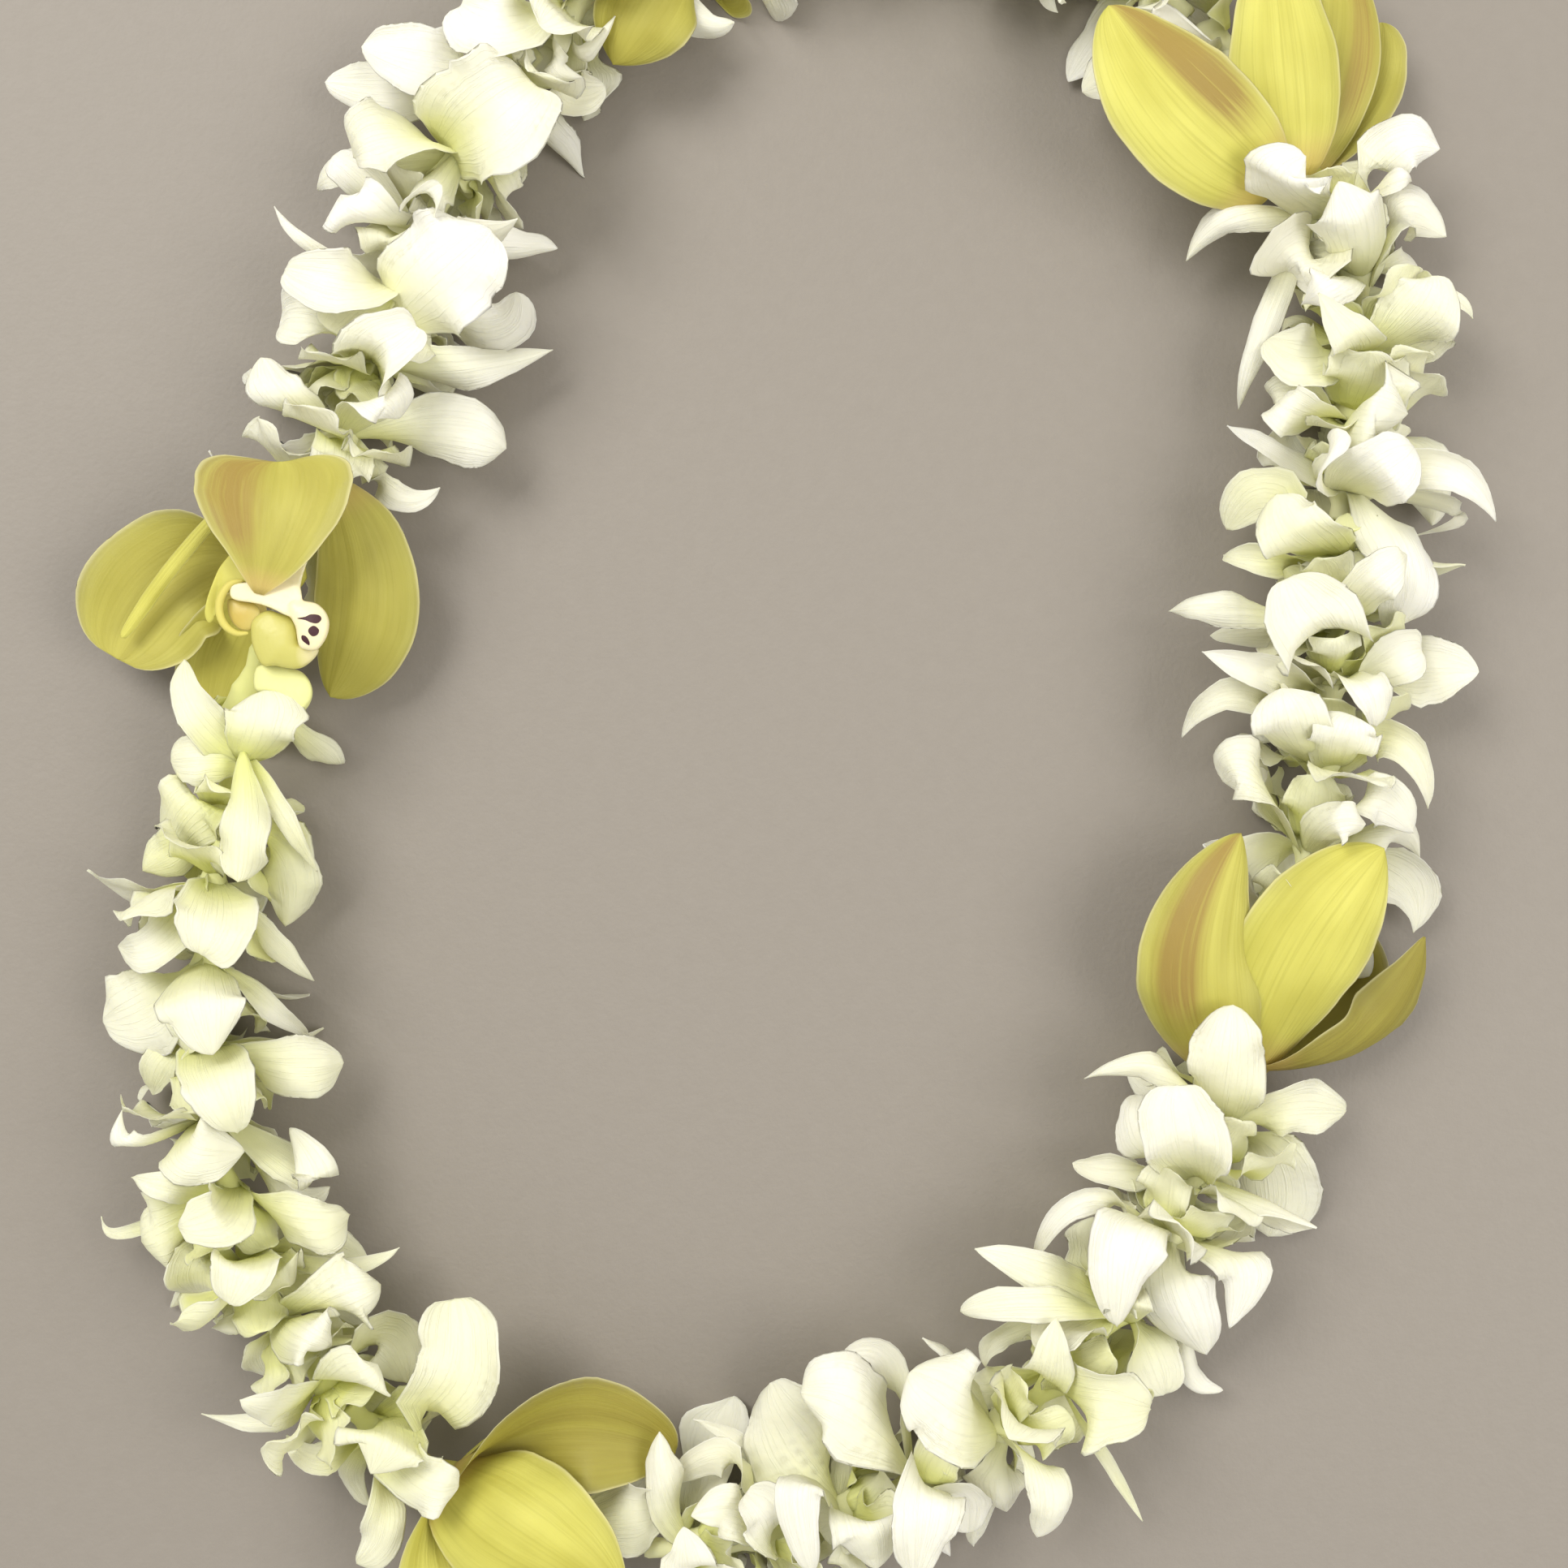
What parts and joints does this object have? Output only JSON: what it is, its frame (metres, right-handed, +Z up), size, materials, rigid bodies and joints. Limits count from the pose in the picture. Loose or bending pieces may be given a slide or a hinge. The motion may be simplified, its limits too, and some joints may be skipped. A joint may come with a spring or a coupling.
{
  "type": "flower lei",
  "caption": "Oval garland of white orchid blooms strung face to back on a thread, with larger yellow-green orchids among them, worn round the neck or laid down.",
  "frame": {"origin": "middle of the outline, on the plane that the lei lies on", "axes": "+Z up from that plane, +Y along the oval's long axis towards the two upper yellow-green blooms, +X across it"},
  "size_m": [0.3228, 0.4311, 0.0448],
  "materials": {
    "white_petal": "satin",
    "yellow_petal": "satin",
    "cream_column": "satin",
    "cotton_thread": "matte"
  },
  "bodies": {
    "root": {"thread": "cotton_thread", "white_bloom_bottom_1": "white_petal", "white_bloom_bottom_10": "white_petal", "white_bloom_bottom_11": "white_petal", "white_bloom_bottom_2": "white_petal", "white_bloom_bottom_3": "white_petal", "white_bloom_bottom_4": "white_petal", "white_bloom_bottom_5": "white_petal", "white_bloom_bottom_6": "white_petal", "white_bloom_bottom_7": "white_petal", "white_bloom_bottom_8": "white_petal", "white_bloom_bottom_9": "white_petal", "white_bloom_left_1": "white_petal", "white_bloom_left_10": "white_petal", "white_bloom_left_11": "white_petal", "white_bloom_left_2": "white_petal", "white_bloom_left_3": "white_petal", "white_bloom_left_4": "white_petal", "white_bloom_left_5": "white_petal", "white_bloom_left_6": "white_petal", "white_bloom_left_7": "white_petal", "white_bloom_left_8": "white_petal", "white_bloom_left_9": "white_petal", "white_bloom_right_1": "white_petal", "white_bloom_right_10": "white_petal", "white_bloom_right_11": "white_petal", "white_bloom_right_2": "white_petal", "white_bloom_right_3": "white_petal", "white_bloom_right_4": "white_petal", "white_bloom_right_5": "white_petal", "white_bloom_right_6": "white_petal", "white_bloom_right_7": "white_petal", "white_bloom_right_8": "white_petal", "white_bloom_right_9": "white_petal", "white_bloom_top_left_1": "white_petal", "white_bloom_top_left_2": "white_petal", "white_bloom_top_left_3": "white_petal", "white_bloom_top_left_4": "white_petal", "white_bloom_top_left_5": "white_petal", "white_bloom_top_left_6": "white_petal", "white_bloom_top_left_7": "white_petal", "white_bloom_top_left_8": "white_petal", "white_bloom_top_left_9": "white_petal", "white_bloom_top_right_1": "white_petal", "white_bloom_top_right_2": "white_petal", "white_bloom_top_right_3": "white_petal", "white_bloom_top_right_4": "white_petal", "white_bloom_top_right_5": "white_petal", "white_bloom_top_right_6": "white_petal", "white_bloom_top_right_7": "white_petal", "yellow_bloom_bottom": "yellow_petal", "yellow_bloom_left": "yellow_petal", "yellow_bloom_right": "yellow_petal", "yellow_bloom_top_left": "yellow_petal", "yellow_bloom_top_right": "yellow_petal", "yellow_column_bottom": "cream_column", "yellow_column_left": "cream_column", "yellow_column_right": "cream_column", "yellow_column_top_left": "cream_column", "yellow_column_top_right": "cream_column"}
  },
  "joints": []
}
